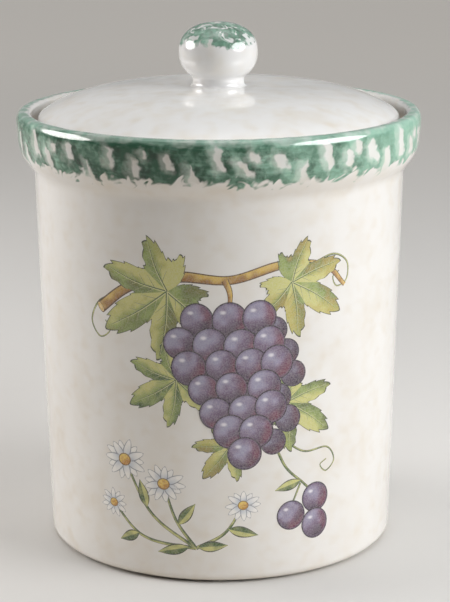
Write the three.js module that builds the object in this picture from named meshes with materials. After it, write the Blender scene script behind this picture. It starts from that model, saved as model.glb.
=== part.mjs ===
// A lidded kitchen canister in glazed earthenware: a tapered crock with a raised collar,
// a low domed lid that sits down inside the collar, a hollow ball knob luted to the lid,
// and a finned sealing ring that grips the mouth of the crock.
// Millimetres, +Z up, origin at the centre of the foot ring, on the surface it stands on.
import * as THREE from "three";

// Crock
const crockHeight = 178.4; // foot to top of the collar's lip
const bodyTopRadius = 75.3; // outside of the wall, under the collar
const bodyFootRadius = 71.2; // outside of the wall, at the bottom
const wall = 6.5;
const floorThickness = 6.5;
const bottomRound = 6.5;
const insideRound = 8;
const footShelf = 0.7; // from the bottom rounding in to the foot ring
const footRingWidth = 6;
const footHeight = 0.6;
const footRecess = 2.4; // how far the underside is raised inside the foot ring

// Collar and the gallery inside it that takes the lid
const collarOverhang = 7; // how far the collar stands out from the wall
const collarFaceHeight = 15.9;
const collarLean = 1.1; // the collar's face draws in by this towards its lower edge
const collarSlopeHeight = 7.7; // below the face, where the collar draws in to the wall
const lipThickness = 4.7;
const galleryDepth = 9.7;
const boreDepth = 16; // straight mouth below the gallery, where the ring seals

// Lid
const lidSideClearance = 4.1; // to the gallery wall
const lidEdgeThickness = 8.2;
const domeRise = 10.4;
const domeFullness = 4; // exponent of the dome's drop, 2 being a parabola
const crownThickness = 5;
const spigotClearance = 2.8; // to the mouth
const spigotThickness = 5.5;
const grooveDepth = 1.5;
const grooveHeight = 6;
const grooveShoulder = 2; // of spigot above and below the groove
const ventRadius = 1.5; // lets the air out of the hollow knob in the kiln

// Knob
const ballRadius = 16;
const ballHalfHeight = 12.6;
const ballFullness = 2.2; // exponent of the ball's outline, 2 being an ellipse
const neckRadius = 10.1;
const neckHeight = 2.3; // between the knob's foot and the ball
const knobFootFlare = 2.6; // how far the knob's foot stands out from its neck
const knobFootHeight = 0.5;
const neckRound = 2.4;
const knobWall = 6;

// Sealing ring
const bandProud = 0.5; // how far the ring's band stands out of its groove
const finCount = 2;
const finThickness = 1;
const finTipThickness = 0.6;
const finLift = 0.7; // the fins point up by this at their tips

// Fits and roundings
const fitGap = 0.3; // between pieces that rest on or run in each other
const lipOuterRound = 2.6;
const lipInnerRound = 1.8;
const collarRound = 14;
const collarFillet = 12;
const lidTopRound = 3;
const lidUnderRound = 2;
const smallRound = 1;
const roundingShare = 0.96; // of a straight stretch, the most that its roundings may take

// Fineness of the turned surfaces
const turnedSides = 64;
const knobSides = 28;
const arcStep = Math.PI / 10;
const domeSteps = 8;
const ballSteps = 6;

const footRingRadius = bodyFootRadius - bottomRound - footShelf;
const collarRadius = bodyTopRadius + collarOverhang;
const galleryRadius = collarRadius - lipThickness;
const mouthRadius = bodyTopRadius - wall;
const galleryHeight = crockHeight - galleryDepth;
const lidRadius = galleryRadius - lidSideClearance;
const spigotRadius = mouthRadius - spigotClearance;
const grooveRadius = spigotRadius - grooveDepth;
const spigotDepth = grooveHeight + 2 * grooveShoulder;
const grooveMiddle = -spigotDepth / 2;
const knobFootRadius = neckRadius + knobFootFlare;

// A corner of a turned outline, at radius r and height z, rounded off by a radius.
function corner(r, z, round = 0) {
  return { at: new THREE.Vector2(r, z), round };
}

// How far a corner's rounding may reach towards its neighbour.
function roundingRoom(at, neighbour) {
  const share = neighbour.round > 0 ? roundingShare / 2 : roundingShare;
  return at.distanceTo(neighbour.at) * share;
}

// The points of an outline whose corners are rounded by arcs. A rounding is limited by its edges.
function roundedOutline(corners, closed = false) {
  const count = corners.length;
  const points = [];
  corners.forEach(({ at, round }, i) => {
    const isEnd = !closed && (i === 0 || i === count - 1);
    if (isEnd || round === 0) {
      points.push(at);
      return;
    }
    const before = corners[(i + count - 1) % count];
    const after = corners[(i + 1) % count];
    const toBefore = before.at.clone().sub(at).normalize();
    const toAfter = after.at.clone().sub(at).normalize();
    const room = Math.min(roundingRoom(at, before), roundingRoom(at, after));
    const halfAngle = Math.acos(THREE.MathUtils.clamp(toBefore.dot(toAfter), -1, 1)) / 2;
    const setback = Math.min(round / Math.tan(halfAngle), room);
    const radius = setback * Math.tan(halfAngle);
    const inward = toBefore.clone().add(toAfter).normalize();
    const centre = at.clone().addScaledVector(inward, radius / Math.sin(halfAngle));
    const start = at.clone().addScaledVector(toBefore, setback).sub(centre);
    const end = at.clone().addScaledVector(toAfter, setback).sub(centre);
    const sweep = Math.atan2(start.cross(end), start.dot(end));
    const steps = Math.max(1, Math.round(Math.abs(sweep) / arcStep));
    for (let k = 0; k <= steps; k++) {
      const spoke = start.clone().rotateAround(new THREE.Vector2(), (sweep * k) / steps);
      points.push(spoke.add(centre));
    }
  });
  if (closed) points.push(points[0].clone());
  return points;
}

// A turned solid about the Z axis, from an outline that keeps its material on the left.
function turned(name, points, sides, material) {
  const geometry = new THREE.LatheGeometry(points, sides);
  geometry.rotateX(Math.PI / 2);
  const mesh = new THREE.Mesh(geometry, material);
  mesh.name = name;
  return mesh;
}

const glaze = new THREE.MeshStandardMaterial({ color: 0xe9e4dc, roughness: 0.12, metalness: 0 });
const lidGlaze = new THREE.MeshStandardMaterial({ color: 0xe6e2dc, roughness: 0.12, metalness: 0 });
const knobGlaze = new THREE.MeshStandardMaterial({ color: 0xdfe3dc, roughness: 0.1, metalness: 0 });
const silicone = new THREE.MeshStandardMaterial({ color: 0xe4e6e4, roughness: 0.45, metalness: 0 });

// Crock: foot ring, rounded bottom, tapered wall, collar, gallery, straight mouth and inside.
function makeCrock() {
  const collarFaceFoot = crockHeight - collarFaceHeight;
  const collarFoot = collarFaceFoot - collarSlopeHeight;
  const insideFloor = footRecess + floorThickness;
  const outline = roundedOutline([
    corner(0, footRecess),
    corner(footRingRadius - footRingWidth, footRecess, smallRound),
    corner(footRingRadius - footRingWidth, 0),
    corner(footRingRadius, 0),
    corner(footRingRadius, footHeight),
    corner(bodyFootRadius, footHeight, bottomRound),
    corner(bodyTopRadius, collarFoot, collarFillet),
    corner(collarRadius - collarLean, collarFaceFoot, collarRound),
    corner(collarRadius, crockHeight, lipOuterRound),
    corner(galleryRadius, crockHeight, lipInnerRound),
    corner(galleryRadius, galleryHeight, smallRound),
    corner(mouthRadius, galleryHeight, smallRound),
    corner(mouthRadius, galleryHeight - boreDepth),
    corner(bodyFootRadius - wall, insideFloor, insideRound),
    corner(0, insideFloor),
  ]);
  return turned("crock_body", outline, turnedSides, glaze);
}

// Height of the lid's dome at a radius, above the plane the lid sits on.
function domeHeight(r) {
  const drop = domeRise * (r / lidRadius) ** domeFullness;
  return lidEdgeThickness + domeRise - drop;
}

// Points of the dome between two radii, lowered by a thickness.
function domeArc(fromRadius, toRadius, lowered = 0) {
  return Array.from({ length: domeSteps + 1 }, (_, i) => {
    const r = THREE.MathUtils.lerp(fromRadius, toRadius, i / domeSteps);
    return corner(r, domeHeight(r) - lowered);
  });
}

const knobSeat = domeHeight(knobFootRadius);

// Lid: flat seat for the knob with a vent hole, dome, edge, seating face and grooved spigot.
function makeLid() {
  const grooveTop = grooveMiddle + grooveHeight / 2;
  const grooveBottom = grooveMiddle - grooveHeight / 2;
  const spigotInside = spigotRadius - spigotThickness;
  const outline = roundedOutline(
    [
      ...domeArc(ventRadius, spigotInside, crownThickness),
      corner(spigotInside, -spigotDepth, smallRound),
      corner(spigotRadius, -spigotDepth, smallRound),
      corner(spigotRadius, grooveBottom),
      corner(grooveRadius, grooveBottom),
      corner(grooveRadius, grooveTop),
      corner(spigotRadius, grooveTop),
      corner(spigotRadius, 0),
      corner(lidRadius, 0, lidUnderRound),
      corner(lidRadius, lidEdgeThickness, lidTopRound),
      ...domeArc(lidRadius, knobFootRadius).slice(1),
      corner(ventRadius, knobSeat),
    ],
    true,
  );
  return turned("lid", outline, turnedSides, lidGlaze);
}

// How far below a ball's centre its outline has a radius.
function ballDepth(ball, radius) {
  return ball.halfHeight * (1 - (radius / ball.radius) ** ballFullness) ** (1 / ballFullness);
}

// Half of a ball's outline, from a radius on its lower side up to its top on the axis.
function ballArc(ball, lowRadius) {
  const power = 2 / ballFullness;
  const lowAngle = -Math.acos((lowRadius / ball.radius) ** (1 / power));
  return Array.from({ length: ballSteps + 1 }, (_, i) => {
    const angle = THREE.MathUtils.lerp(lowAngle, Math.PI / 2, i / ballSteps);
    const r = i === ballSteps ? 0 : ball.radius * Math.cos(angle) ** power;
    const rise = ball.halfHeight * Math.sign(angle) * Math.abs(Math.sin(angle)) ** power;
    return corner(r, ball.centre + rise);
  });
}

// Knob: a hollow ball on a short neck, open below over the vent hole.
function makeKnob() {
  const ball = { radius: ballRadius, halfHeight: ballHalfHeight };
  ball.centre = knobFootHeight + neckHeight + ballDepth(ball, neckRadius);
  const hollow = {
    radius: ballRadius - knobWall,
    halfHeight: ballHalfHeight - knobWall,
    centre: ball.centre,
  };
  const boreRadius = neckRadius - knobWall;
  const outline = roundedOutline([
    ...ballArc(hollow, boreRadius).reverse(),
    corner(boreRadius, 0),
    corner(knobFootRadius, 0),
    corner(knobFootRadius, knobFootHeight),
    corner(neckRadius, knobFootHeight, neckRound),
    ...ballArc(ball, neckRadius),
  ]);
  return turned("knob", outline, knobSides, knobGlaze);
}

// Sealing ring: a band in the lid's groove, with soft fins that reach the mouth.
function makeSealRing() {
  const inside = grooveRadius + fitGap;
  const band = spigotRadius + bandProud;
  const tip = mouthRadius - fitGap;
  const height = grooveHeight - 2 * fitGap;
  const bottom = grooveMiddle - height / 2;
  const pitch = height / finCount;
  const fins = Array.from({ length: finCount }, (_, i) => {
    const middle = bottom + pitch * (i + 0.5);
    return [
      corner(band, middle - finThickness / 2),
      corner(tip, middle - finTipThickness / 2 + finLift),
      corner(tip, middle + finTipThickness / 2 + finLift),
      corner(band, middle + finThickness / 2),
    ];
  });
  const outline = roundedOutline(
    [
      corner(inside, bottom),
      corner(band, bottom),
      ...fins.flat(),
      corner(band, bottom + height),
      corner(inside, bottom + height),
    ],
    true,
  );
  return turned("seal_ring", outline, turnedSides, silicone);
}

// The lid group stands on the gallery, and the knob on the lid's crown.
const lidGroup = new THREE.Group();
lidGroup.position.z = galleryHeight + fitGap;
const knob = makeKnob();
knob.position.z = knobSeat + fitGap;
lidGroup.add(makeLid(), knob, makeSealRing());

const canister = new THREE.Group();
canister.add(makeCrock(), lidGroup);

export default canister;
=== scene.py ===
import math

import bpy
import numpy as np
from mathutils import Matrix, Vector


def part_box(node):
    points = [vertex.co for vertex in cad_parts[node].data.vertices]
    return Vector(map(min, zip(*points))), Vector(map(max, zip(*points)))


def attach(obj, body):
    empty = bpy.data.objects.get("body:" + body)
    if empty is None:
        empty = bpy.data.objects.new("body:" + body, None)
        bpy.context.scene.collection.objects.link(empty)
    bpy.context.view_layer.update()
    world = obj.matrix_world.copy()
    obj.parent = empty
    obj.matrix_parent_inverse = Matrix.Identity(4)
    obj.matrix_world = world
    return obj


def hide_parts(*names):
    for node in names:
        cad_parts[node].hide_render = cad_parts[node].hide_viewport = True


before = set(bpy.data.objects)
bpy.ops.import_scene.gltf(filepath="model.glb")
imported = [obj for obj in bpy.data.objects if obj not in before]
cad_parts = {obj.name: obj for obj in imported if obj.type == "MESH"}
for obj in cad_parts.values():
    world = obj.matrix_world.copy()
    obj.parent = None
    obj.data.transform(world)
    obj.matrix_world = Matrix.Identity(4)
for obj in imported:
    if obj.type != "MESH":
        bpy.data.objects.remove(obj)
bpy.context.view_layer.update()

mm = 0.001    # sizes below are in millimetres, Blender's are in metres
scene = bpy.context.scene
scene.view_settings.view_transform = "Standard"
white = (1, 1, 1, 1)
black = (0, 0, 0, 1)
print("frame loaded:", ", ".join(sorted(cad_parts)))


def tint(red, green, blue):
    # a colour picked in steps of 0 to 255, as linear light
    steps = np.array([red, green, blue]) / 255
    return np.where(steps <= 0.04045, steps / 12.92, ((steps + 0.055) / 1.055) ** 2.4)


# Turned shapes

def roundedOutline(corners, closed=False, arcStep=math.radians(7), share=0.96):
    # corners are (radius, height, rounding); a rounding is limited by its edges
    outline = []
    count = len(corners)
    for i, (r, z, rounding) in enumerate(corners):
        here = Vector((r, z))
        isEnd = not closed and i in (0, count - 1)
        if isEnd or rounding == 0:
            outline.append(here)
            continue
        room = []
        toward = []
        for r2, z2, rounding2 in (corners[i - 1], corners[(i + 1) % count]):
            edge = Vector((r2, z2)) - here
            room.append(edge.length * (share / 2 if rounding2 else share))
            toward.append(edge.normalized())
        half = toward[0].angle(toward[1]) / 2
        setback = min(rounding / math.tan(half), *room)
        radius = setback * math.tan(half)
        centre = here + (toward[0] + toward[1]).normalized() * radius / math.sin(half)
        start = here + toward[0] * setback - centre
        end = here + toward[1] * setback - centre
        sweep = math.atan2(start.x * end.y - start.y * end.x, start.dot(end))
        steps = max(2, round(abs(sweep) / arcStep))
        for k in range(steps + 1):
            outline.append(centre + Matrix.Rotation(sweep * k / steps, 2) @ start)
    if closed:
        outline.append(outline[0].copy())
    return np.array(outline)


def fillLong(outline, longest=5.0):
    # extra points on long straight stretches, so that the hand wobble shows there
    filled = [outline[0]]
    for start, end in zip(outline[:-1], outline[1:]):
        parts = max(1, math.ceil(np.linalg.norm(end - start) / longest))
        filled += [start + (end - start) * k / parts for k in range(1, parts + 1)]
    return np.array(filled)


wobbleFade = 2.0    # millimetres over which the hand wobble comes in


def handWobble(angle, z):
    # how far a thrown wall strays from true round, in millimetres
    slow = 0.05 * np.cos(2 * angle + 0.8) + 0.04 * np.cos(3 * angle - z / 37)
    return slow + 0.03 * np.sin(5 * angle + z / 23)


def thrownRadius(radius, angle, z, wobbleFrom):
    # only what lies outside the radius wobbleFrom wobbles, so the inside stays true
    return radius + handWobble(angle, z) * np.clip((radius - wobbleFrom) / wobbleFade, 0, 1)


def roundAngles(count):
    return np.arange(count) * 2 * np.pi / count


def aroundAxis(radius, angle, z):
    # places about +Z in metres, where angle 0 is the front (-Y)
    level = np.broadcast_to(z, np.shape(angle))
    return np.stack([radius * np.sin(angle), -radius * np.cos(angle), level], -1) * mm


def newMesh(name, verts, faces, sharpAngle=40):
    mesh = bpy.data.meshes.new(name)
    mesh.from_pydata(verts, [], faces)
    mesh.shade_smooth()
    mesh.set_sharp_from_angle(angle=math.radians(sharpAngle))
    piece = bpy.data.objects.new(name, mesh)
    scene.collection.objects.link(piece)
    return piece


def turnedPiece(name, outline, sides, wobbleFrom=None):
    # spins an outline about +Z; its material is on the outline's left
    angles = roundAngles(sides)
    verts = []
    rings = []
    for r, z in outline:
        first = len(verts)
        if r < 1e-6:
            verts.append((0, 0, z * mm))
            rings.append([first] * sides)
            continue
        radii = np.full(sides, r)
        if wobbleFrom is not None:
            radii = thrownRadius(radii, angles, z, wobbleFrom)
        verts += aroundAxis(radii, angles, z).tolist()
        rings.append(list(range(first, first + sides)))
    if np.allclose(outline[0], outline[-1]):
        verts = verts[:rings[-1][0]]
        rings[-1] = rings[0]
    faces = []
    for low, high in zip(rings[:-1], rings[1:]):
        for i in range(sides):
            j = (i + 1) % sides
            corners = [low[i], low[j], high[j], high[i]]
            faces.append(list(dict.fromkeys(corners)))
    return newMesh(name, verts, faces)


# Shader nodes

class Wire:
    # a node's output; sums, differences, products and powers of it are Math nodes
    def __init__(self, node, label=0):
        self.socket = node.outputs[label]
        self.tree = node.id_data

    def __add__(self, other):
        return maths("ADD", self, other)

    def __sub__(self, other):
        return maths("SUBTRACT", self, other)

    def __rsub__(self, other):
        return maths("SUBTRACT", other, self)

    def __mul__(self, other):
        return maths("MULTIPLY", self, other)

    def __pow__(self, other):
        return maths("POWER", self, other)

    def __abs__(self):
        return maths("ABSOLUTE", self)

    def feed(self, socket):
        self.tree.links.new(self.socket, socket)


def addNode(tree, kind, inputs=(), **settings):
    made = tree.nodes.new(kind)
    made.location = (200 * len(tree.nodes), 0)
    for name, value in settings.items():
        setattr(made, name, value)
    for name, value in dict(inputs).items():
        if isinstance(value, Wire):
            value.feed(made.inputs[name])
        else:
            isTint = isinstance(value, np.ndarray)
            made.inputs[name].default_value = (*value, 1.0) if isTint else value
    return made


def maths(operation, first, second=0.0):
    tree = (first if isinstance(first, Wire) else second).tree
    return Wire(addNode(tree, "ShaderNodeMath", {0: first, 1: second}, operation=operation))


def larger(first, second):
    return maths("MAXIMUM", first, second)


def clamped(result):
    # keeps a sum or a product from 0 to 1
    result.socket.node.use_clamp = True
    return result


def swing(noise, amount):
    # noise from 0 to 1, as a shift to either side
    return (noise - 0.5) * amount


def vectorMaths(operation, inputs, label=0):
    return Wire(addNode(inputs[0].tree, "ShaderNodeVectorMath", inputs, operation=operation), label)


def partsOf(place):
    made = addNode(place.tree, "ShaderNodeSeparateXYZ", {0: place})
    return [Wire(made, axis) for axis in "XYZ"]


def distance(x, y):
    flat = Wire(addNode(x.tree, "ShaderNodeCombineXYZ", {"X": x, "Y": y}))
    return vectorMaths("LENGTH", {0: flat}, "Value")


def ramp(value, low, high, start=0.0, end=1.0):
    inputs = {"Value": value, "From Min": low, "From Max": high, "To Min": start, "To Max": end}
    made = addNode(value.tree, "ShaderNodeMapRange", inputs, interpolation_type="SMOOTHSTEP")
    return Wire(made, "Result")


def mixColour(share, first, second):
    return Wire(addNode(share.tree, "ShaderNodeMix", {0: share, 6: first, 7: second}, data_type="RGBA"), 2)


def cloud(place, size, detail=2.0, distortion=0.0):
    # noise whose blots are about size millimetres across
    inputs = {"Vector": place, "Scale": 1 / size, "Detail": detail, "Distortion": distortion}
    return Wire(addNode(place.tree, "ShaderNodeTexNoise", inputs), "Fac")


def placeInMm(tree):
    place = Wire(addNode(tree, "ShaderNodeTexCoord"), "Object")
    return vectorMaths("SCALE", {0: place, "Scale": 1 / mm})


def stretched(place, across, along):
    return vectorMaths("MULTIPLY", {0: place, 1: (across, across, along)})


def newGroup(name, inputs, outputs):
    # inputs come with their first values, outputs with their kinds
    tree = bpy.data.node_groups.new(name, "ShaderNodeTree")
    for label, value in inputs.items():
        kind = "NodeSocketColor" if isinstance(value, tuple) else "NodeSocketFloat"
        tree.interface.new_socket(label, in_out="INPUT", socket_type=kind).default_value = value
    for label, kind in outputs.items():
        tree.interface.new_socket(label, in_out="OUTPUT", socket_type="NodeSocket" + kind)
    source = addNode(tree, "NodeGroupInput")
    target = addNode(tree, "NodeGroupOutput")
    return tree, {label: Wire(source, label) for label in inputs}, target.inputs


mottle = {
    # clouds as (stretch across, stretch along, size, detail, faint from, full from)
    "small": (1, 1.2, 7.0, 1.0, 0.46, 0.88), "large": (1, 0.8, 15.0, 2.0, 0.42, 0.84),
    "warm": (1.1, 1, 9.0, 1.0, 0.48, 0.88),
    "smallShare": 0.5, "largeShare": 0.5, "warmShare": 0.7,
}


def creamMottle():
    # faint beige clouds in the white slip, under the clear glaze
    inputs = {"Cream": white, "Beige": white, "Blush": white, "Amount": 1.0}
    tree, given, out = newGroup("creamMottle", inputs, {"Color": "Color"})
    place = placeInMm(tree)
    clouds = {}
    for name in ("small", "large", "warm"):
        across, along, size, detail, low, high = mottle[name]
        clouds[name] = ramp(cloud(stretched(place, across, along), size, detail), low, high)
    beige = clouds["small"] * mottle["smallShare"] + clouds["large"] * mottle["largeShare"]
    colour = mixColour(clamped(beige * given["Amount"]), given["Cream"], given["Beige"])
    blush = clouds["warm"] * given["Amount"] * mottle["warmShare"]
    mixColour(blush, colour, given["Blush"]).feed(out["Color"])
    return tree


# the sponge's print round the collar: bare spots as (place along the repeat, height above the edge,
# half length, half width, widening downwards), all leaning alike
stamp = {
    "repeats": 12, "radius": 82.0, "lean": 0.22,
    "spots": [(0.0, 9.6, 3.3, 1.45, 0.0), (10.2, 6.3, 1.9, 1.5, 0.05), (14.4, 10.8, 0.7, 1.2, 0.0),
              (23.6, 8.2, 1.7, 1.65, 0.0), (32.6, 4.2, 3.4, 1.3, 0.28)],
}


def spongeStamp():
    # how far a point is inside the nearest bare spot, in millimetres
    tree, given, out = newGroup("spongeStamp", {"Along": 0.0, "Height": 0.0}, {"Bare": "Float"})
    halfPitch = math.pi * stamp["radius"] / stamp["repeats"]
    bare = None
    for along, height, halfLength, halfWidth, widening in stamp["spots"]:
        repeat = {0: given["Along"] - along, 1: halfPitch, 2: -halfPitch}
        above = given["Height"] - height
        aside = Wire(addNode(tree, "ShaderNodeMath", repeat, operation="WRAP")) + above * stamp["lean"]
        past = larger(abs(above) - halfLength, 0.0)
        spot = halfWidth - above * widening - distance(aside, past)
        bare = spot if bare is None else larger(bare, spot)
    bare.feed(out["Bare"])
    return tree


sponge = {
    "lumps": [(9.0, 0.5, 0.0), (4.6, 0.55, 1.2), (1.7, 0.05, 0.0)],    # size, share of the raggedness, curl
    "leftInSpots": 0.16, "thinSpeckle": 4.0, "blotSpeckle": 9.0,
    "washShare": 0.45, "dabShare": 0.35, "streakShare": 0.2,
    "evenHalf": 36.0,    # it gets paler only past this distance from the band's darkest place along X
    "thinPaler": 0.3, "thinBarer": 0.35, "paleCurve": 1.5, "blotsKeepOff": 0.95,
}


def spongedGreen():
    # green worked on with a sponge above a ragged edge: bare spots, with dark blots on their right
    # and thin colour on their left
    inputs = {"Edge Height": 0.0, "Ragged": 4.0, "Fineness": 1.0, "Twist": 0.0, "Paling Rate": 0.0, "Darkest X": 0.0,
              "Bare": -9.0, "Bare At Left": -9.0, "Bare At Right": -9.0,
              "Dark": white, "Middle": white, "Light": white}
    tree, given, out = newGroup("spongedGreen", inputs, {"Mask": "Float", "Green": "Color"})
    place = placeInMm(tree)
    x, y, z = partsOf(place)
    reach = z - given["Edge Height"]
    turn = {"Vector": place, "Angle": reach * given["Twist"]}
    slanted = Wire(addNode(tree, "ShaderNodeVectorRotate", turn, rotation_type="Z_AXIS"))
    slanted = vectorMaths("SCALE", {0: slanted, "Scale": given["Fineness"]})
    for size, share, curl in sponge["lumps"]:
        reach += swing(cloud(slanted, size, detail=0.5, distortion=curl), given["Ragged"] * share)
    inside = ramp(reach, -0.8, 1.2)
    covered = ramp(given["Bare"], -0.8, 0.5, 1.0, sponge["leftInSpots"])
    speck = cloud(place, 2.6)
    thin = ramp(given["Bare At Right"] + swing(speck, sponge["thinSpeckle"]), -3.0, 1.2)
    blots = ramp(given["Bare At Left"] + swing(speck, sponge["blotSpeckle"]), -2.2, 0.9)
    wash = ramp(cloud(place, 9.0, detail=3.0), 0.34, 0.68)
    dabs = ramp(cloud(place, 2.8, distortion=0.6), 0.32, 0.72)
    streak = ramp(cloud(stretched(place, 0.3, 1.4), 1.6), 0.3, 0.75)
    tone = wash * sponge["washShare"] + dabs * sponge["dabShare"] + streak * sponge["streakShare"]
    # the band's green gets paler with distance along X from its darkest place, past an even stretch
    paling = (abs(x - given["Darkest X"]) - sponge["evenHalf"]) * given["Paling Rate"]
    tone = tone + larger(paling, 0.0) * (1 - tone) + maths("MINIMUM", paling, 0.0)
    tone = clamped(tone + thin * sponge["thinPaler"])
    green = mixColour(tone ** sponge["paleCurve"], given["Middle"], given["Light"])
    wet = clamped(1 - tone * sponge["blotsKeepOff"])
    mixColour(blots * wet, green, given["Dark"]).feed(out["Green"])
    mask = inside * covered * (1 - thin * sponge["thinBarer"])
    mask.feed(out["Mask"])
    return tree


def glazeSkin():
    # the slight waviness of a dipped glaze, and its duller patches
    outputs = {"Roughness": "Float", "Height": "Float"}
    tree, given, out = newGroup("glazeSkin", {"Gloss": 0.08, "Dull": 0.16}, outputs)
    place = placeInMm(tree)
    patches = ramp(cloud(place, 14.0, detail=3.0), 0.4, 0.72)
    rough = given["Gloss"] + patches * (given["Dull"] - given["Gloss"])
    rough.feed(out["Roughness"])
    height = cloud(place, 9.0, detail=1.0) + cloud(place, 1.5, detail=1.0) * 0.03
    height.feed(out["Height"])
    return tree


groups = {make.__name__: make() for make in (creamMottle, spongeStamp, spongedGreen, glazeSkin)}
print("node groups made:", ", ".join(groups))


def newMaterial(name):
    material = bpy.data.materials.new(name)
    material.use_nodes = True
    tree = material.node_tree
    return material, tree, tree.nodes["Principled BSDF"].inputs


def useGroup(tree, name, inputs):
    made = addNode(tree, "ShaderNodeGroup", inputs, node_tree=groups[name])
    return {label: Wire(made, label) for label in made.outputs.keys()}


glazeIor = 1.65
creamTints = {"Cream": tint(240, 240, 239), "Beige": tint(224, 215, 199), "Blush": tint(232, 227, 217)}
greenTints = {"Dark": tint(16, 60, 39), "Middle": tint(31, 86, 60), "Light": tint(158, 204, 183)}
biscuit = {"tint": tint(205, 186, 160), "rougher": 0.7}


def glazeOver(shader, colour, glaze, bare=None):
    # a clear glaze over the colour, on the material's own shader; where it is bare, the clay shows
    skin = useGroup(colour.tree, "glazeSkin", {"Gloss": glaze["gloss"], "Dull": glaze["dull"]})
    rough = skin["Roughness"]
    if bare is not None:
        colour = mixColour(bare, colour, biscuit["tint"])
        rough = clamped(rough + bare * biscuit["rougher"])
    waves = {"Height": skin["Height"], "Strength": 1.0, "Distance": glaze["wave"] * mm}
    Wire(addNode(colour.tree, "ShaderNodeBump", waves), "Normal").feed(shader["Normal"])
    shader["IOR"].default_value = glazeIor
    colour.feed(shader["Base Color"])
    rough.feed(shader["Roughness"])


# Crock

crock = {
    "height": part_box("crock_body")[1].z / mm,
    "bodyTopRadius": 75.3, "bodyFootRadius": 71.2, "wall": 6.5, "floor": 6.5,
    "bottomRound": 6.5, "insideRound": 8.0,
    "footShelf": 0.7, "footRingWidth": 6.0, "footHeight": 0.6, "footRecess": 2.4,
    "footRounds": (0.4, 0.3, 0.2),    # inner edge, outer edge, under the shelf
    "collarOverhang": 7.0, "collarFaceHeight": 15.9, "collarLean": 1.1, "collarSlopeHeight": 7.7,
    "collarRound": 14.0, "collarFillet": 7.5,
    "lipThickness": 6.1, "lipLean": math.radians(35), "lipShoulderRound": 6.0, "lipCrestRound": 1.8,
    "lipInnerRound": 1.6,
    "galleryDepth": 9.7, "boreDepth": 16.0, "boreRound": 4.0, "smallRound": 1.0,
    "sides": 256, "wobbleFrom": 70.2,
    "mottle": 0.65, "glaze": {"gloss": 0.07, "dull": 0.14, "wave": 0.05},
    "spongeEdge": 161.9, "spongeRagged": 15.0, "spongeTwist": -0.007, "spongePalingRate": 0.0125,
    "spongeDarkestX": -28.0, "spotsGrow": 0.009, "spotsEven": 55.0, "spotsUneven": 3.0,
    "spotsSway": [(16.0, 7.0), (4.0, 4.5), (1.6, 1.2)],    # size of the drift, how far it moves them
    "spotsAside": {"Bare": 0.0, "Bare At Left": -2.3, "Bare At Right": 1.5},
    "lipRagged": 5.0, "lipStreaks": 5.0, "lipPaleAndSheen": 0.45, "lipPatchesAndSheen": (0.4, 0.05),
}
collarFoot = crock["height"] - crock["collarFaceHeight"] - crock["collarSlopeHeight"]
collarRadius = crock["bodyTopRadius"] + crock["collarOverhang"]
lipInside = collarRadius - crock["lipThickness"]
gallery = crock["height"] - crock["galleryDepth"]
footRing = crock["bodyFootRadius"] - crock["bottomRound"] - crock["footShelf"]


def wallRadius(z):
    rise = (z - crock["footHeight"]) / (collarFoot - crock["footHeight"])
    return crock["bodyFootRadius"] + (crock["bodyTopRadius"] - crock["bodyFootRadius"]) * rise


def lipCorners():
    # a slow shoulder that leans inwards, then a tight crest, each with its own stretch of the slope
    c = crock
    shoulder = c["lipShoulderRound"] * math.tan(c["lipLean"] / 2)
    crest = c["lipCrestRound"] * math.tan((math.pi / 2 - c["lipLean"]) / 2)
    corners = []
    for down, rounding in ((shoulder + crest, c["lipShoulderRound"]), (crest, 0), (0, c["lipCrestRound"])):
        inward = (shoulder + crest - down) * math.sin(c["lipLean"])
        corners.append((collarRadius - inward, c["height"] - down * math.cos(c["lipLean"]), rounding))
    return corners


def crockOutline():
    c = crock
    footInside = footRing - c["footRingWidth"]
    mouth = c["bodyTopRadius"] - c["wall"]
    insideFloor = c["footRecess"] + c["floor"]
    innerRound, outerRound, shelfRound = c["footRounds"]
    return roundedOutline([
        (0, c["footRecess"], 0),
        (footInside, c["footRecess"], c["smallRound"]),
        (footInside, 0, innerRound),
        (footRing, 0, outerRound),
        (footRing, c["footHeight"], shelfRound),
        (c["bodyFootRadius"], c["footHeight"], c["bottomRound"]),
        (c["bodyTopRadius"], collarFoot, c["collarFillet"]),
        (collarRadius - c["collarLean"], c["height"] - c["collarFaceHeight"], c["collarRound"]),
        *lipCorners(),
        (lipInside, c["height"], c["lipInnerRound"]),
        (lipInside, gallery, c["smallRound"]),
        (mouth, gallery, c["smallRound"]),
        (mouth, gallery - c["boreDepth"], c["boreRound"]),
        (c["bodyFootRadius"] - c["wall"], insideFloor, c["insideRound"]),
        (0, insideFloor, 0),
    ])


def stampedSpots(place):
    # the stamp is never laid on quite straight, and its spots come out larger or smaller
    tree = place.tree
    x, y, z = partsOf(place)
    along = maths("ARCTAN2", x, y * -1.0) * stamp["radius"]
    height = z - crock["spongeEdge"]
    for size, sway in crock["spotsSway"]:
        drift = addNode(tree, "ShaderNodeTexNoise", {"Vector": place, "Scale": 1 / size, "Detail": 1.0})
        parts = addNode(tree, "ShaderNodeSeparateColor", {0: Wire(drift, "Color")})
        along += swing(Wire(parts, 0), sway)
        height += swing(Wire(parts, 1), sway)
    # the spots also grow with distance along X from the band's darkest place
    fromEven = abs(x - crock["spongeDarkestX"]) - crock["spotsEven"]
    grown = swing(cloud(place, 13.0, detail=1.0), crock["spotsUneven"]) + fromEven * crock["spotsGrow"]
    spots = {}
    for label, aside in crock["spotsAside"].items():
        there = {"Along": along + aside, "Height": height}
        spots[label] = useGroup(tree, "spongeStamp", there)["Bare"] + grown
    return spots


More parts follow.
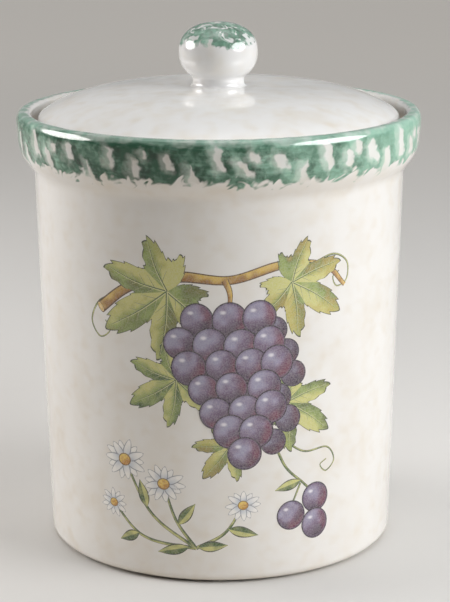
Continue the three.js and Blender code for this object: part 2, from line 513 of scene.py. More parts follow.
def crockGlaze():
    c = crock
    material, tree, shader = newMaterial("crockGlaze")
    place = placeInMm(tree)
    x, y, z = partsOf(place)
    radius = distance(x, y)
    body = useGroup(tree, "creamMottle", {**creamTints, "Amount": c["mottle"]})["Color"]
    sponged = useGroup(tree, "spongedGreen", {
        **greenTints, "Edge Height": c["spongeEdge"], "Ragged": c["spongeRagged"], "Twist": c["spongeTwist"],
        "Paling Rate": c["spongePalingRate"], "Darkest X": c["spongeDarkestX"], **stampedSpots(place)})
    outside = ramp(radius + swing(cloud(place, 5.0), c["lipRagged"]), lipInside + 0.7, lipInside + 2.2)
    uneven = z + swing(cloud(stretched(place, 0.25, 1.0), 1.8), c["lipStreaks"])
    # on the lip's top the green is paler and bare in patches: partly real thin paint, partly painted sheen
    # where the crest catches light from above
    onTop = ramp(uneven, c["height"] - 3.0, c["height"] - 0.2)
    patchesAndSheen = ramp(cloud(place, 6.0), 0.36, 0.62, *c["lipPatchesAndSheen"])
    painted = sponged["Mask"] * outside * (1 - onTop * patchesAndSheen)
    green = mixColour(onTop * c["lipPaleAndSheen"], sponged["Green"], greenTints["Light"])
    colour = mixColour(painted, body, green)
    footFace = ramp(z, 0.25, 0.5, 1.0, 0.0) * ramp(radius, footRing + 0.3, footRing + 0.8, 1.0, 0.0)
    seat = ramp(z, gallery - 0.6, gallery - 0.2) * ramp(z, gallery + 0.8, gallery + 1.6, 1.0, 0.0)
    seat *= ramp(radius, lipInside + 0.2, lipInside + 0.6, 1.0, 0.0)
    glazeOver(shader, colour, c["glaze"], larger(footFace, seat))
    return material


crockBody = turnedPiece("crock_glazed", fillLong(crockOutline()), crock["sides"], crock["wobbleFrom"])
crockBody.data.materials.append(crockGlaze())
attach(crockBody, "crock")
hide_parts("crock_body")
print("crock turned:", len(crockBody.data.polygons), "faces")


# Print on the wall, fired under the glaze: grapes, vine leaves and daisies as thin films of colour

art = {
    "unrollRadius": 73.5, "lift": 0.03, "liftStep": 0.004, "sunk": 0.06, "seed": 11, "cells": 48,
    "grain": 0.16, "glaze": {"gloss": 0.08, "dull": 0.15, "wave": 0.05},
    "layers": {"stalks": 0, "cane": 1, "leaflets": 1, "cutEnd": 2, "vineLeaves": 3, "daisies": 4,
               "shadedGrapes": 7, "grapes": 9},
    "cane": [(-49, 110), (-35, 120), (-16, 125), (4, 124), (24, 129), (42, 127), (52, 118)],
    "caneWidths": (2.4, 2.0, 2.3, 1.8, 1.9, 1.4, 0.9), "cutRadius": 2.5,
    "bunchStem": [(2, 124), (4, 118), (3, 108)], "bunchStemWidths": (1.4, 0.9, 1.1),
    "tendrils": [    # points, half widths
        ([(36, 128), (46, 131), (53, 127), (53, 120), (48, 118), (46, 122), (49, 124)], (0.5, 0.35, 0.25)),
        ([(-42, 116), (-50, 112), (-54, 104), (-50, 98), (-45, 101), (-47, 105)], (0.5, 0.35, 0.25)),
        ([(24, 60), (34, 53), (45, 53), (49, 47), (45, 43), (42, 46), (45, 48)], (0.5, 0.35, 0.25)),
        ([(20, 62), (26, 48), (34, 40), (38, 36)], (0.6, 0.5)),
        ([(33, 40), (30, 33)], (0.45, 0.4)),
    ],
    "grapeRadius": 6.7,
    "grapeRows": [(108, (-9, 3, 15)), (99, (-16, -4, 8, 20)), (90, (-12, 0, 12, 23)), (81, (-7, 5, 17)),
                  (72, (-2, 10, 21)), (63, (4, 15)), (55, (10,))],
    "shadedShift": (6, -4.5), "shadedSize": 0.8, "shadedDepth": 0.45,
    "looseGrapes": [(40, 33), (29, 27), (40, 22)], "looseSize": 0.92,
    "looseLeaf": ((33, 41), (22, 38), 2.2),
    "vineLeaves": [
        {"base": (-20, 119), "toward": (-0.84, -0.54), "size": 31, "warmth": 0.2},
        {"base": (28, 122), "toward": (0.84, -0.54), "size": 25, "warmth": 0.5},
        {"base": (-17, 84), "toward": (-0.86, -0.51), "size": 22, "warmth": 0.0},
        {"base": (26, 74), "toward": (0.82, -0.57), "size": 23, "warmth": 0.1},
        {"base": (4, 58), "toward": (-0.62, -0.78), "size": 17, "warmth": 0.4},
    ],
    "daisies": [
        {"centre": (-40, 49), "radius": 9.6, "petals": 14},
        {"centre": (-23, 41), "radius": 8.8, "petals": 13},
        {"centre": (-46, 30), "radius": 6.6, "petals": 11},
        {"centre": (9, 33), "radius": 7.2, "petals": 12},
    ],
    "daisySquash": 0.9, "daisyEye": 0.3, "petalWidth": 0.19,
    "daisyRoot": (-10, 15), "stalkSway": 0.12, "stalkWidths": (0.75, 0.5),
    "leaflets": [(0, 0.55, (-3, 11)), (1, 0.4, (7, 9)), (2, 0.08, (-13, -3)), (2, 0.6, (-9, -4)),
                 (3, 0.05, (12, 1)), (3, 0.6, (12, -3))],    # stalk, share of its length, reach
    "leafletWidth": 2.3,
}
inks = {
    "outline": tint(52, 58, 40), "leafLight": tint(208, 208, 132), "leafMiddle": tint(150, 168, 92),
    "leafDark": tint(76, 102, 54), "vein": tint(214, 214, 158), "gold": tint(222, 190, 96),
    "bark": tint(158, 112, 54), "barkEdge": tint(92, 64, 36), "petal": tint(250, 250, 249),
    "petalShade": tint(188, 198, 214), "petalEdge": tint(120, 128, 142),
    "grapeDark": tint(66, 48, 70), "grape": tint(122, 102, 132), "grapeWarm": tint(132, 58, 82),
    "grapeBloom": tint(166, 166, 196), "grapeGlint": tint(238, 236, 244), "grapeRim": tint(100, 84, 120),
    "grapeEdge": tint(42, 28, 46), "eyeDark": tint(196, 140, 50), "eyeLight": tint(238, 206, 96),
    "eyeEdge": tint(120, 84, 40), "cutPale": tint(238, 214, 150), "cutRing": tint(206, 166, 96),
}
paintRandom = np.random.default_rng(art["seed"])
paintLattice = paintRandom.random((art["cells"], art["cells"]))


def blotch(flat, size):
    # soft seeded noise from 0 to 1, for uneven colour
    cell = np.floor(flat / size).astype(int)
    part = flat / size - cell
    part = part * part * (3 - 2 * part)
    i, j = cell[..., 0] % art["cells"], cell[..., 1] % art["cells"]
    k, m = (i + 1) % art["cells"], (j + 1) % art["cells"]
    low = paintLattice[i, j] * (1 - part[..., 0]) + paintLattice[k, j] * part[..., 0]
    high = paintLattice[i, m] * (1 - part[..., 0]) + paintLattice[k, m] * part[..., 0]
    return low * (1 - part[..., 1]) + high * part[..., 1]


def fade(value, low, high):
    share = np.clip((value - low) / (high - low), 0, 1)
    return share * share * (3 - 2 * share)


def coats(first, *others):
    # an ink under others, each laid on by its share
    colours = inks[first]
    for ink, share in others:
        colours = colours + (inks[ink] - colours) * np.asarray(share)[..., None]
    return colours


def unitAt(angle):
    return np.array([math.cos(angle), math.sin(angle)])


def onWall(flat, lift):
    # flat is (along the wall from the middle of the front, height)
    angle = flat[:, 0] / art["unrollRadius"]
    z = flat[:, 1]
    return aroundAxis(thrownRadius(wallRadius(z), angle, z, crock["wobbleFrom"]) + lift, angle, z)


def addFilm(films, layer, flat, faces, colours):
    # a closed film: its top on the wall, its underside just inside the wall
    count = len(flat)
    sides = {(a, b) for face in faces for a, b in zip(face, face[1:] + face[:1])}
    rim = sorted((a, b) for a, b in sides if (b, a) not in sides)
    closed = list(faces)
    closed += [[corner + count for corner in reversed(face)] for face in faces]
    closed += [[b, a, a + count, b + count] for a, b in rim]
    verts = np.concatenate([onWall(flat, art["lift"] + art["liftStep"] * layer), onWall(flat, -art["sunk"])])
    films.append((verts, closed, np.concatenate([colours, colours])))


def discGrid(centre, reach, shares):
    # a star-shaped patch: reach is its edge as offsets from the centre, shares how far out each ring lies
    spokes = len(reach)
    rings = [centre + reach * np.reshape(share, (-1, 1)) for share in shares]
    faces = [[0, 1 + j, 1 + (j + 1) % spokes] for j in range(spokes)]
    for ring in range(len(shares) - 1):
        first = 1 + ring * spokes
        for j in range(spokes):
            k = (j + 1) % spokes
            faces.append([first + j, first + spokes + j, first + spokes + k, first + k])
    return np.concatenate([[centre]] + rings), faces


def curveThrough(points, spacing=1.0):
    # a smooth path through all the points
    points = np.array(points, float)
    ends = np.concatenate([[2 * points[0] - points[1]], points, [2 * points[-1] - points[-2]]])
    path = []
    for a, b, c, d in zip(ends[:-3], ends[1:-2], ends[2:-1], ends[3:]):
        steps = max(2, round(np.linalg.norm(c - b) / spacing))
        for t in np.linspace(0, 1, steps, endpoint=False):
            path.append(0.5 * (2 * b + (c - a) * t + (2 * a - 5 * b + 4 * c - d) * t ** 2
                               + (3 * b - a - 3 * c + d) * t ** 3))
    path.append(points[-1])
    return np.array(path)


def strokeGrid(path, halfWidth, across):
    # a brush stroke along a path; across counts from its right edge to its left edge
    heading = np.gradient(path, axis=0)
    heading /= np.linalg.norm(heading, axis=1, keepdims=True)
    leftward = np.stack([-heading[:, 1], heading[:, 0]], -1)
    across = np.array(across)
    flat = path[:, None] + leftward[:, None] * (halfWidth[:, None] * across)[..., None]
    cols = len(across)
    faces = []
    for i in range(len(path) - 1):
        for j in range(cols - 1):
            faces.append([i * cols + j, (i + 1) * cols + j, (i + 1) * cols + j + 1, i * cols + j + 1])
    return flat.reshape(-1, 2), faces, np.broadcast_to(across, (len(path), cols)).reshape(-1)


def paintStroke(films, layer, points, widths, light, dark, edge):
    # a shaded stem or twig; widths are half widths at even steps along it
    path = curveThrough(points)
    halfWidth = np.interp(np.linspace(0, 1, len(path)), np.linspace(0, 1, len(widths)), widths)
    flat, faces, across = strokeGrid(path, halfWidth, (-1, -0.8, -0.72, -0.3, 0.2, 0.6, 0.72, 0.8, 1))
    lit = fade(across * 0.6 + blotch(flat, 2.2) - 0.5, -0.4, 0.6)
    addFilm(films, layer, flat, faces, coats(dark, (light, lit), (edge, np.abs(across) > 0.75)))


def paintGrape(films, layer, centre, radius, shadow=0.0):
    angle = roundAngles(60)
    tall = 1 + paintRandom.uniform(-0.02, 0.08)
    edge = np.stack([np.cos(angle) * radius, np.sin(angle) * radius * tall], -1)
    shares = [0.1, 0.2, 0.3, 0.4, 0.5, 0.58, 0.66, 0.74, 0.81, 0.87, 0.92, 0.94, 1.0]
    flat, faces = discGrid(np.array(centre, float), edge, shares)
    across = (flat - centre) / (radius, radius * tall)
    out = np.linalg.norm(across, axis=1)
    front = np.sqrt(np.clip(1 - out ** 2, 0, 1))
    lit = across @ np.array([-0.42, 0.5]) + 0.75 * front
    uneven = blotch(flat + paintRandom.uniform(0, 60, 2), 2.6) - 0.5
    warm = across @ unitAt(paintRandom.uniform(-1.6, 0.6))
    glint = np.linalg.norm((across - (-0.36, 0.42)) / (0.24, 0.15), axis=1)
    addFilm(films, layer, flat, faces, coats(
        "grapeDark",
        ("grape", fade(lit + 0.25 * uneven, 0.0, 0.85)),
        ("grapeWarm", 0.6 * fade(warm + 0.6 * uneven, 0.05, 0.85)),
        ("grapeBloom", 0.75 * fade(lit + 0.5 * uneven, 0.55, 1.05)),
        ("grapeGlint", 0.85 * fade(glint, 1.0, 0.3)),
        ("grapeRim", 0.5 * fade(out, 0.8, 0.9)),
        ("grapeEdge", np.maximum(out > 0.93, shadow)),
    ))


# lobes of a vine leaf as (angle from its midrib in degrees, length, half width in degrees)
vineLobes = [(0, 1.0, 30), (50, 0.88, 27), (-50, 0.88, 27), (102, 0.72, 28), (-102, 0.72, 28),
             (146, 0.52, 22), (-146, 0.52, 22)]
ribbedLobes = [lobe[:2] for lobe in vineLobes[:5]]
veins = {
    "ribReach": 0.93, "ribBend": 0.03, "ribWidth": 0.014,
    "starts": (0.2, 0.36, 0.52, 0.68, 0.82), "angle": 0.75, "reach": 0.24, "width": 0.006,
}


def vineLeafEdge(size, spokes=240, teeth=46):
    angle = (np.arange(spokes) + 0.5) * 2 * np.pi / spokes - np.pi
    reach = np.full(spokes, 0.42)
    for middle, length, width in vineLobes:
        lobe = length * np.exp(-np.abs((angle - math.radians(middle)) / math.radians(width)) ** 1.7)
        reach = np.maximum(reach, lobe)
    reach *= fade(np.pi - np.abs(angle), -0.35, 0.5)
    saw = (angle * teeth / (2 * np.pi)) % 1
    reach *= 1 + 0.11 * (saw - 0.5) * np.where(angle > 0, -1, 1)
    return angle, reach * size


def paintVineLeaf(films, layer, base, toward, size, warmth):
    base = np.array(base, float)
    heading = math.atan2(toward[1], toward[0])
    angle, reach = vineLeafEdge(size)
    edge = np.stack([np.cos(angle + heading) * reach, np.sin(angle + heading) * reach], -1)
    inset = np.clip(1 - 0.4 / reach, 0.5, 1)
    shares = [share * inset for share in np.linspace(0, 0.985, round(size) + 1)[1:]]
    shares += [inset, np.ones_like(inset)]
    flat, faces = discGrid(base, edge, shares)
    away = flat - base
    around = (np.arctan2(away[:, 1], away[:, 0]) - heading + np.pi) % (2 * np.pi) - np.pi
    out = np.linalg.norm(away, axis=1) / size
    offsets = around[:, None] - np.radians([lobe[0] for lobe in ribbedLobes])
    nearest = np.take_along_axis(offsets, np.abs(offsets).argmin(1)[:, None], 1)[:, 0]
    uneven = blotch(flat, 5.5) * 0.6 + blotch(flat, 1.9) * 0.4
    tone = 0.5 * np.tanh(nearest * 9) + 1.4 * (uneven - 0.5) + 0.5 * (out - 0.4)
    colours = coats("leafLight", ("leafMiddle", fade(tone, -0.6, 0.15)), ("leafDark", fade(tone, 0.05, 0.85)),
                    ("gold", warmth * fade(uneven + 0.4 * out, 0.5, 1.0)))
    colours[-2 * len(angle):] = inks["outline"]
    addFilm(films, layer, flat, faces, colours)
    for middle, length in ribbedLobes:
        turned = math.radians(middle) + heading
        way = unitAt(turned)
        tip = base + way * size * length * veins["ribReach"]
        bend = np.array([-way[1], way[0]]) * size * veins["ribBend"]
        rib = curveThrough([base, (base + tip) / 2 + bend, tip])
        paintRib(films, layer + 2, rib, size * veins["ribWidth"])
        for start in veins["starts"]:
            root = rib[int(start * (len(rib) - 1))]
            for aside in (veins["angle"], -veins["angle"]):
                end = root + unitAt(turned + aside) * size * length * veins["reach"] * (1.1 - start)
                paintRib(films, layer + 1, curveThrough([root, end]), size * veins["width"])


def paintRib(films, layer, path, width):
    # a pale vein with a dark line on one side
    flat, faces, across = strokeGrid(path, np.linspace(1, 0.35, len(path)) * width, (-1, 0.0, 0.1, 1))
    addFilm(films, layer, flat, faces, coats("vein", ("leafDark", across < 0.05)))


def paintPetal(films, layer, root, tip, halfWidth):
    path = curveThrough([root, tip], 0.7)
    along = np.linspace(0, 1, len(path))
    width = halfWidth * np.clip(np.sin(np.pi * along ** 0.62) ** 0.55, 0.06, 1)
    columns = (-1, -0.82, -0.74, -0.3, 0.0, 0.3, 0.74, 0.82, 1)
    flat, faces, across = strokeGrid(path, width, columns)
    along = np.repeat(along, len(columns))
    shade = fade(0.75 - along, 0.0, 0.75) * (0.55 + 0.45 * np.abs(across - 0.3))
    shade = np.clip(shade + 0.3 * (blotch(flat, 1.3) - 0.5), 0, 1)
    rim = (np.abs(across) > 0.78) | (along > 0.97)
    addFilm(films, layer, flat, faces, coats("petal", ("petalShade", shade), ("petalEdge", 0.8 * rim)))


def paintDaisy(films, layer, centre, radius, petals):
    centre = np.array(centre, float)
    squash = np.array([1, art["daisySquash"]])
    for i in range(petals):
        angle = 2 * math.pi * (i + paintRandom.uniform(-0.18, 0.18)) / petals
        way = unitAt(angle) * squash
        tip = centre + way * radius * paintRandom.uniform(0.9, 1.06)
        paintPetal(films, layer + i % 2, centre + way * radius * 0.18, tip, radius * art["petalWidth"])
    angle = roundAngles(36)
    eye = radius * art["daisyEye"]
    edge = np.stack([np.cos(angle), np.sin(angle)], -1) * squash * eye
    flat, faces = discGrid(centre, edge, [0.2, 0.4, 0.55, 0.7, 0.82, 0.88, 1.0])
    across = (flat - centre) / eye
    lit = fade(across @ np.array([-0.5, 0.6]) + blotch(flat, 0.55), 0.0, 1.1)
    out = np.linalg.norm(across / squash, axis=1)
    addFilm(films, layer + 3, flat, faces, coats("eyeDark", ("eyeLight", lit), ("eyeEdge", out > 0.85)))


def paintLeaflet(films, layer, base, tip, halfWidth):
    # a small plain leaf of the daisy
    path = curveThrough([base, tip], 0.8)
    along = np.linspace(0, 1, len(path))
    width = halfWidth * np.clip(np.sin(np.pi * along ** 0.8), 0.05, 1)
    flat, faces, across = strokeGrid(path, width, (-1, -0.84, -0.76, -0.06, 0.06, 0.76, 0.84, 1))
    tone = fade(np.sign(across) * 0.4 + blotch(flat, 2.0) - 0.5, -0.6, 0.6)
    edged = np.abs(across) > 0.8
    addFilm(films, layer, flat, faces, coats("leafLight", ("leafDark", tone), ("outline", edged)))


def paintCutEnd(films, layer, cane, radius):
    # the pale oval where the cane was cut
    start, second = np.array(cane[:2], float)
    way = (second - start) / np.linalg.norm(second - start)
    angle = roundAngles(32)
    edge = np.outer(np.cos(angle) * 0.45, way) + np.outer(np.sin(angle), (-way[1], way[0]))
    shares = [0.25, 0.5, 0.7, 0.8, 0.84, 1.0]
    flat, faces = discGrid(start, edge * radius, shares)
    out = np.concatenate([[0], np.repeat(shares, len(angle))])
    ringed = 0.8 * (out == 0.5)
    addFilm(films, layer, flat, faces, coats("cutPale", ("cutRing", ringed), ("barkEdge", out > 0.82)))


def paintedPrint():
    # painted from the back to the front, each layer a little higher
    stems, leaves, grapes, daisies = [], [], [], []
    layers = art["layers"]
    twig = ("gold", "bark", "barkEdge")
    green = ("leafLight", "leafDark", "outline")
    root = np.array(art["daisyRoot"], float)
    stalks = []
    for daisy in art["daisies"]:
        rise = np.array(daisy["centre"]) - root
        sway = np.array([rise[0], -abs(rise[0])]) * art["stalkSway"]
        stalks.append([root, root + rise / 2 + sway, root + rise])
        paintStroke(stems, layers["stalks"], stalks[-1], art["stalkWidths"], *green)
    for points, widths in art["tendrils"]:
        paintStroke(stems, layers["stalks"], points, widths, *green)
    paintStroke(stems, layers["cane"], art["cane"], art["caneWidths"], *twig)
    paintCutEnd(stems, layers["cutEnd"], art["cane"], art["cutRadius"])
    paintStroke(stems, layers["cutEnd"], art["bunchStem"], art["bunchStemWidths"], *twig)
    for stalk, share, reach in art["leaflets"]:
        path = curveThrough(stalks[stalk])
        base = path[round(share * (len(path) - 1))]
        paintLeaflet(leaves, layers["leaflets"], base, base + reach, art["leafletWidth"])
    paintLeaflet(leaves, layers["leaflets"], *art["looseLeaf"])
    for i, leaf in enumerate(art["vineLeaves"]):
        paintVineLeaf(leaves, layers["vineLeaves"] + i % 2, **leaf)
    aside, below = art["shadedShift"]
    for height, places in art["grapeRows"][:-1]:
        for i, place in enumerate(places):
            paintGrape(grapes, layers["shadedGrapes"] + i % 2, (place + aside, height + below),
                       art["grapeRadius"] * art["shadedSize"], art["shadedDepth"])
    layer = layers["grapes"]
    for height, places in art["grapeRows"]:
        for place in places:
            centre = (place + paintRandom.uniform(-1.0, 1.0), height + paintRandom.uniform(-1.2, 1.2))
            paintGrape(grapes, layer, centre, art["grapeRadius"] * paintRandom.uniform(0.94, 1.05))
            layer += 1
    for i, centre in enumerate(art["looseGrapes"]):
        paintGrape(grapes, layers["grapes"] + i, centre, art["grapeRadius"] * art["looseSize"])
    for daisy in art["daisies"]:
        paintDaisy(daisies, layers["daisies"], **daisy)
    return {"print_stems": stems, "print_leaves": leaves, "print_grapes": grapes, "print_daisies": daisies}


def printGlaze():
    material, tree, shader = newMaterial("printGlaze")
    paint = Wire(addNode(tree, "ShaderNodeAttribute", attribute_name="paint"), "Color")
    grain = ramp(cloud(placeInMm(tree), 0.5), 0.3, 0.7, 0.0, art["grain"])
    glazeOver(shader, mixColour(grain, paint, creamTints["Cream"]), art["glaze"])
    return material


def joinFilms(name, films, material):
    starts = np.cumsum([0] + [len(film[0]) for film in films])
    faces = [[corner + start for corner in face] for film, start in zip(films, starts) for face in film[1]]
    piece = newMesh(name, np.concatenate([film[0] for film in films]).tolist(), faces)
    colours = np.concatenate([film[2] for film in films])
    paint = piece.data.attributes.new("paint", "FLOAT_COLOR", "POINT")
    paint.data.foreach_set("color", np.column_stack([colours, np.ones(len(colours))]).ravel())
    piece.data.materials.append(material)
    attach(piece, "crock")
    print(name, "painted:", len(faces), "faces")


printFinish = printGlaze()
for name, films in paintedPrint().items():
    joinFilms(name, films, printFinish)


# Lid and its knob

lid = {
    "aboveRing": 2.3,    # from the top of the sealing ring to the face that rests in the gallery
    "radius": 73.5, "edge": 7.4, "rise": 11.2, "fullness": 4.4, "crown": 5.0,
    "spigotRadius": 66.0, "spigotThickness": 5.5, "spigotDepth": 10.0, "spigotFillet": 3.0, "spigotRoom": 3.5,
    "grooveDepth": 1.5, "grooveTop": -2.0, "grooveBottom": -8.0, "grooveRound": 0.3,
    "ventRadius": 1.5, "topRound": 4.0, "topRoom": 5.0, "underRound": 2.0, "restRound": 0.6,
    "smallRound": 1.0, "sides": 256, "mottle": 0.85, "glaze": {"gloss": 0.08, "dull": 0.17, "wave": 0.06},
}
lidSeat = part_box("seal_ring")[1].z / mm + lid["aboveRing"]


def domeHeight(r):
    return lid["edge"] + lid["rise"] * (1 - (r / lid["radius"]) ** lid["fullness"])


def domeArc(start, end, steps, lowered=0.0):
    return [(r, domeHeight(r) - lowered, 0) for r in np.linspace(start, end, steps)]


def lidOutline():
    d = lid
    inside = d["spigotRadius"] - d["spigotThickness"]
    groove = d["spigotRadius"] - d["grooveDepth"]
    corners = [
        *domeArc(d["ventRadius"], inside - d["spigotRoom"], 24, d["crown"]),
        (inside, domeHeight(inside) - d["crown"], d["spigotFillet"]),
        (inside, -d["spigotDepth"], d["smallRound"]),
        (d["spigotRadius"], -d["spigotDepth"], d["smallRound"]),
        (d["spigotRadius"], d["grooveBottom"], d["grooveRound"]),
        (groove, d["grooveBottom"], d["grooveRound"]),
        (groove, d["grooveTop"], d["grooveRound"]),
        (d["spigotRadius"], d["grooveTop"], d["grooveRound"]),
        (d["spigotRadius"], 0, d["restRound"]),
        (d["radius"], 0, d["underRound"]),
        (d["radius"], d["edge"], d["topRound"]),
        *domeArc(d["radius"] - d["topRoom"], d["ventRadius"], 40),
    ]
    return roundedOutline(corners, closed=True) + np.array([0, lidSeat])


def lidGlaze():
    material, tree, shader = newMaterial("lidGlaze")
    z = partsOf(placeInMm(tree))[2]
    body = useGroup(tree, "creamMottle", {**creamTints, "Amount": lid["mottle"]})["Color"]
    restFace = ramp(z, lidSeat + 0.1, lidSeat + 0.5, 1.0, 0.0) * ramp(z, lidSeat - 1.2, lidSeat - 0.8)
    glazeOver(shader, body, lid["glaze"], restFace)
    return material


lidDome = turnedPiece("lid_glazed", fillLong(lidOutline(), 8.0), lid["sides"])
lidDome.data.materials.append(lidGlaze())
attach(lidDome, "lid")
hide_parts("lid")
print("lid turned:", len(lidDome.data.polygons), "faces")

knob = {
    "topDrop": 0.35, "sunk": 0.06, "coveLift": 0.04,
    "ballRadius": 16.0, "halfHeight": 12.0, "fullness": 2.3,
    "neckRadius": 10.4, "footRadius": 11.8, "footFillet": 1.3, "glazeSoftening": 0.7,
    "sides": 160, "mottle": 0.5, "glaze": {"gloss": 0.05, "dull": 0.1, "wave": 0.02},
    "cream": tint(239, 239, 239), "darkGreen": tint(34, 80, 58), "middleGreen": tint(72, 122, 97),
    "spongeEdge": 205.3, "spongeRagged": 10.0, "spongeFineness": 1.6, "spongeSpots": 4.2,
    "spotsAside": {"Bare": 0.0, "Bare At Left": -1.5, "Bare At Right": 1.3},
}
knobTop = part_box("knob")[1].z / mm - knob["topDrop"]


def softened(outline, reach, step=0.25):
    # spaces an outline evenly and rounds its creases, as a thick glaze does
    length = np.concatenate([[0], np.cumsum(np.linalg.norm(np.diff(outline, axis=0), axis=1))])
    even = np.linspace(0, length[-1], round(length[-1] / step) + 1)
    points = np.stack([np.interp(even, length, outline[:, k]) for k in (0, 1)], -1)
    span = round(3 * reach / step)
    weight = np.exp(-0.5 * (np.arange(-span, span + 1) * step / reach) ** 2)
    before = 2 * points[0] - points[span:0:-1]
    after = 2 * points[-1] - points[-2:-span - 2:-1]
    padded = np.concatenate([before, points, after])
    smooth = [np.convolve(padded[:, k], weight / weight.sum(), "valid") for k in (0, 1)]
    return np.stack(smooth, -1)


def knobOutline():
    k = knob
    centre = knobTop - k["halfHeight"]
    seat = lidSeat + domeHeight(k["footRadius"]) - k["sunk"]
    power = 2 / k["fullness"]
    low = -math.acos((k["neckRadius"] / k["ballRadius"]) ** (1 / power))
    angles = np.linspace(low, math.pi / 2, 48)
    reach = np.clip(np.cos(angles), 0, 1) ** power * k["ballRadius"]
    rise = np.sign(angles) * np.abs(np.sin(angles)) ** power * k["halfHeight"]
    foot = roundedOutline([
        (k["footRadius"], seat, 0),
        (k["neckRadius"], seat + k["coveLift"], k["footFillet"]),
        (k["neckRadius"], centre + rise[0], 0),
    ])
    side = np.concatenate([foot, np.stack([reach, centre + rise], -1)[1:]])
    side = softened(side, k["glazeSoftening"])
    side[-1, 0] = 0
    return np.concatenate([[[0, seat]], side])


def knobGlaze():
    k = knob
    material, tree, shader = newMaterial("knobGlaze")
    creams = {**creamTints, "Cream": k["cream"], "Amount": k["mottle"]}
    body = useGroup(tree, "creamMottle", creams)["Color"]
    place = placeInMm(tree)
    spots = {}
    for label, aside in k["spotsAside"].items():
        there = vectorMaths("ADD", {0: place, 1: (aside, 0, 0)})
        blot = cloud(there, k["spongeSpots"], detail=1.5, distortion=0.8)
        spots[label] = ramp(blot, 0.5, 0.72, -1.6, 2.0)
    sponged = useGroup(tree, "spongedGreen", {
        **greenTints, "Dark": k["darkGreen"], "Middle": k["middleGreen"], "Edge Height": k["spongeEdge"],
        "Ragged": k["spongeRagged"], "Fineness": k["spongeFineness"], **spots})
    glazeOver(shader, mixColour(sponged["Mask"], body, sponged["Green"]), k["glaze"])
    return material


knobBall = turnedPiece("knob_glazed", knobOutline(), knob["sides"])
knobBall.data.materials.append(knobGlaze())
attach(knobBall, "lid")
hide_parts("knob")
print("knob turned:", len(knobBall.data.polygons), "faces")


# Sealing ring

ring = {
    "bottom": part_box("seal_ring")[0].z / mm, "inside": 64.8, "band": 66.5, "tip": 68.5,
    "height": 5.4, "fins": 2, "finThickness": 1.0, "finTip": 0.6, "finLift": 0.7, "edgeRound": 0.25,
    "sides": 256, "clear": tint(226, 228, 226), "hazy": tint(212, 214, 210),
    "softness": 0.15, "lightDepth": 2.0,
}


def ringOutline():
    g = ring
    pitch = g["height"] / g["fins"]
    corners = [(g["inside"], g["bottom"], g["edgeRound"]), (g["band"], g["bottom"], g["edgeRound"])]
    for i in range(g["fins"]):
        middle = g["bottom"] + pitch * (i + 0.5)
        corners += [
            (g["band"], middle - g["finThickness"] / 2, g["edgeRound"]),
            (g["tip"], middle - g["finTip"] / 2 + g["finLift"], g["edgeRound"]),
            (g["tip"], middle + g["finTip"] / 2 + g["finLift"], g["edgeRound"]),
            (g["band"], middle + g["finThickness"] / 2, g["edgeRound"]),
        ]
    top = g["bottom"] + g["height"]
    corners += [(g["band"], top, g["edgeRound"]), (g["inside"], top, g["edgeRound"])]
    return roundedOutline(corners, closed=True, arcStep=math.radians(22))


def siliconeRubber():
    material, tree, shader = newMaterial("siliconeRubber")
    place = placeInMm(tree)
    haze = ramp(cloud(place, 6.0, detail=3.0), 0.4, 0.7)
    mixColour(haze, ring["clear"], ring["hazy"]).feed(shader["Base Color"])
    ramp(cloud(place, 2.5), 0.3, 0.7, 0.36, 0.5).feed(shader["Roughness"])
    shader["Subsurface Weight"].default_value = ring["softness"]
    shader["Subsurface Radius"].default_value = [ring["lightDepth"] * mm] * 3
    shader["Subsurface Scale"].default_value = 1.0
    return material


sealRing = turnedPiece("seal_ring_soft", ringOutline(), ring["sides"])
sealRing.data.materials.append(siliconeRubber())
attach(sealRing, "seal")
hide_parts("seal_ring")
print("sealing ring turned:", len(sealRing.data.polygons), "faces")


# Studio

studio = {
    "floorRadius": 4500.0, "floorThickness": 1.0, "floorDrop": 0.05, "floorSides": 128,
    # the floor's seen colour holds painted shade and light: darker on the left, lighter to the right, behind
    # and far off, where a painted glow adds to it
    "floorShadedLeft": tint(206, 204, 201), "floorLitRight": tint(221, 220, 218), "floorLitFar": tint(228, 225, 220),
    "across": (-220.0, 220.0), "behind": (80.0, 380.0), "behindShare": 0.45,
    "gradient": (250.0, 1700.0), "farPaintedGlow": tint(70, 66, 62),
    # what the floor throws back as light: its share near and far, left and right, painted darker far off and
    # on the left as shade
    "bounceTint": tint(233, 223, 210), "bounceSpan": (120.0, 900.0), "bounceNearFar": (0.86, 0.42),
    "bounceSides": (0.9, 1.1),
    "overheadGlow": 2.4, "overheadFocus": 10.0, "airTint": (1.0, 0.992, 0.982, 1.0),
    "backdropGlow": 0.22, "backdropWay": (0.4, 0.92, 0.0), "backdropSpan": (0.0, 0.8),
    "roomGlow": 0.3, "horizonTone": 0.4,    # the least that reflections and the camera see of the room
    "beam": 120.0, "leftTint": (1.0, 0.97, 0.945), "aim": (0, 0, 0.12),
    # glints show only in the glaze and boxes only light it; they hang apart, so that none hides another
    "lamps": {
        "rightGlint": {"azimuth": 66, "elevation": 24, "away": 1.1, "size": (0.92, 0.64), "watts": 6.8,
                       "matte": False},
        "rightBox": {"azimuth": 65, "elevation": 24, "away": 1.0, "size": (0.86, 0.62), "watts": 4.05,
                     "gloss": False},
        "leftGlint": {"azimuth": -97, "elevation": 22, "away": 1.1, "size": (0.79, 0.52), "watts": 4.8,
                      "matte": False},
        "leftBox": {"azimuth": -98, "elevation": 22, "away": 1.0, "size": (0.72, 0.48), "watts": 2.2,
                    "gloss": False},
        "backBox": {"azimuth": -118, "elevation": 5, "away": 1.0, "size": (0.6, 0.34), "watts": 1.3,
                    "gloss": False},
    },
}


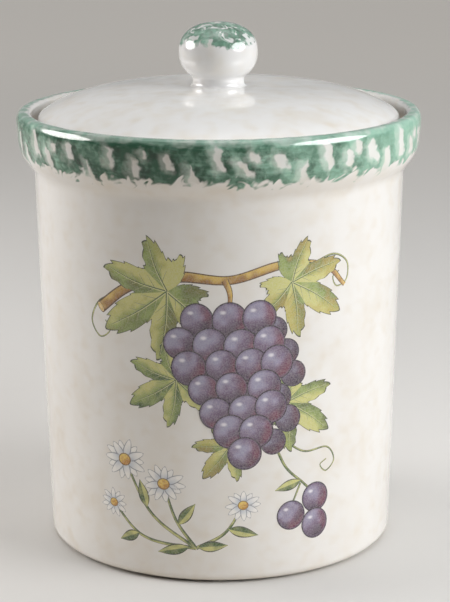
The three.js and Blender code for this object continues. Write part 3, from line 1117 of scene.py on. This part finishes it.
def studioFloor():
    s = studio
    top = -s["floorDrop"]
    bottom = top - s["floorThickness"]
    outline = np.array([(0, bottom), (s["floorRadius"], bottom), (s["floorRadius"], top), (0, top)])
    floor = turnedPiece("studio_floor", outline, s["floorSides"])
    material, tree, shader = newMaterial("studioPaper")
    place = placeInMm(tree)
    x, y, z = partsOf(place)
    away = vectorMaths("LENGTH", {0: place}, "Value")
    # painted shade on the floor's left, painted light to its right, behind it and far off, and a painted glow
    # far off that the camera and reflections see
    far = ramp(away, *s["gradient"])
    across = larger(ramp(x, *s["across"]), ramp(y, *s["behind"], 0.0, s["behindShare"]))
    near = mixColour(across, s["floorShadedLeft"], s["floorLitRight"])
    path = addNode(tree, "ShaderNodeLightPath")
    seen = larger(Wire(path, "Is Camera Ray"), Wire(path, "Is Glossy Ray"))
    seen = larger(seen, Wire(path, "Is Transmission Ray"))
    # the floor's colour for bounced light is painted shade: darker far off and on the left
    bounce = ramp(away, *s["bounceSpan"], *s["bounceNearFar"]) * ramp(x, *s["across"], *s["bounceSides"])
    bounced = mixColour(bounce, black, s["bounceTint"])
    mixColour(seen, bounced, mixColour(far, near, s["floorLitFar"])).feed(shader["Base Color"])
    mixColour(seen * far, black, s["farPaintedGlow"]).feed(shader["Emission Color"])
    shader["Emission Strength"].default_value = 1.0
    shader["Roughness"].default_value = 0.9
    shader["Specular IOR Level"].default_value = 0.1
    floor.data.materials.append(material)


def softbox(name, azimuth, elevation, away, size, watts, matte=True, gloss=True):
    # azimuth counts from the front, towards +X
    lamp = bpy.data.lights.new(name, "AREA")
    lamp.shape = "ELLIPSE"
    lamp.size, lamp.size_y = size
    lamp.energy = watts
    lamp.spread = math.radians(studio["beam"])
    lamp.color = studio["leftTint"] if azimuth < 0 else (1, 1, 1)
    box = bpy.data.objects.new(name, lamp)
    turn = math.radians(azimuth)
    rise = math.radians(elevation)
    direction = Vector((math.sin(turn) * math.cos(rise), -math.cos(turn) * math.cos(rise), math.sin(rise)))
    box.location = Vector(studio["aim"]) + direction * away
    box.rotation_euler = direction.to_track_quat("Z", "Y").to_euler()
    box.visible_camera = False
    box.visible_diffuse = matte
    box.visible_glossy = gloss
    scene.collection.objects.link(box)


def studioWorld():
    s = studio
    world = bpy.data.worlds.new("studioAir")
    world.use_nodes = True
    tree = world.node_tree
    toward = Wire(addNode(tree, "ShaderNodeTexCoord"), "Generated")
    up = larger(partsOf(toward)[2], 0.0)
    overhead = up ** s["overheadFocus"] * s["overheadGlow"]
    behind = vectorMaths("DOT_PRODUCT", {0: toward, 1: s["backdropWay"]}, "Value")
    glow = overhead + ramp(behind, *s["backdropSpan"], 0.0, s["backdropGlow"])
    path = addNode(tree, "ShaderNodeLightPath")
    for ray, least in (("Is Glossy Ray", s["roomGlow"]), ("Is Camera Ray", s["horizonTone"])):
        glow = larger(glow, Wire(path, ray) * least)
    background = tree.nodes["Background"].inputs
    glow.feed(background["Strength"])
    background["Color"].default_value = s["airTint"]
    scene.world = world


studioFloor()
for name, lamp in studio["lamps"].items():
    softbox(name, **lamp)
studioWorld()
print("studio lit")


# Camera

lens = {
    "place": (0.0, -827.7, 305.9), "pitchDown": 14.15, "roll": -0.29,
    "focalPixels": 2050.0, "frameLong": 602, "centreOffset": 5.45, "sensor": 36.0,
}
camera = bpy.data.cameras.new("portrait")
camera.sensor_width = lens["sensor"]
camera.lens = lens["sensor"] * lens["focalPixels"] / lens["frameLong"]
camera.shift_x = lens["centreOffset"] / lens["frameLong"]
tripod = bpy.data.objects.new("portrait", camera)
tilt = Matrix.Rotation(math.radians(90 - lens["pitchDown"]), 4, "X")
tripod.matrix_world = (Matrix.Translation(Vector(lens["place"]) * mm) @ tilt
                       @ Matrix.Rotation(math.radians(lens["roll"]), 4, "Z"))
scene.collection.objects.link(tripod)
scene.camera = tripod
print("camera placed")
